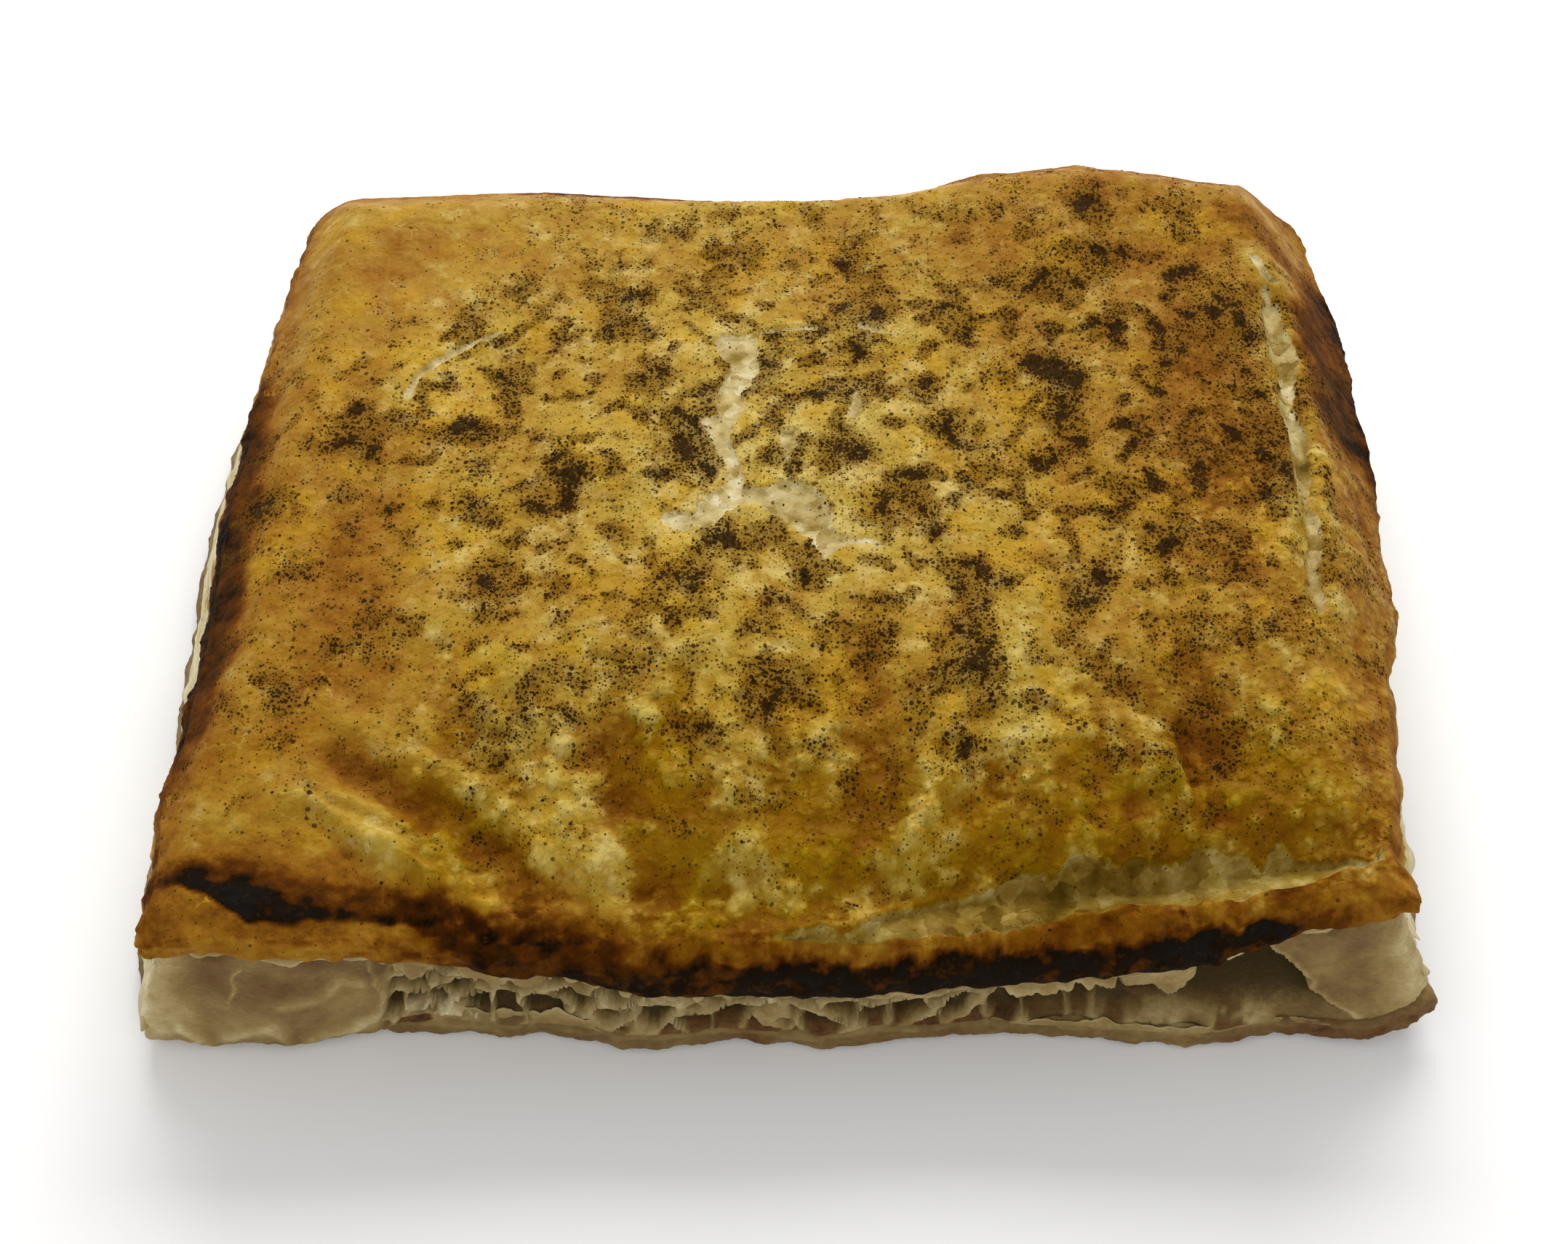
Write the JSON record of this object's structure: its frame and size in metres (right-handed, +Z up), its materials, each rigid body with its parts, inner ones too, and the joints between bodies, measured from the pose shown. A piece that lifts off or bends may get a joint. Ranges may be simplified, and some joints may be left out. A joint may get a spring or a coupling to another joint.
{
  "type": "steak slice",
  "caption": "Rectangular baked puff pastry slice with a closed filling, browned flaky edges, a torn front side and ground pepper on its glazed top.",
  "frame": {"origin": "middle of the underside: the centre of the bounding box in X and Y, at the height of the face it rests on", "axes": "+X to the right as the picture shows it, along the long side; +Y to the back, away from the torn front side; +Z up"},
  "size_m": [0.1486, 0.1164, 0.0334],
  "materials": {
    "pastry": "golden brown baked puff pastry with an egg glaze, satin"
  },
  "bodies": {
    "root": {"steak_slice": "pastry"}
  },
  "joints": []
}
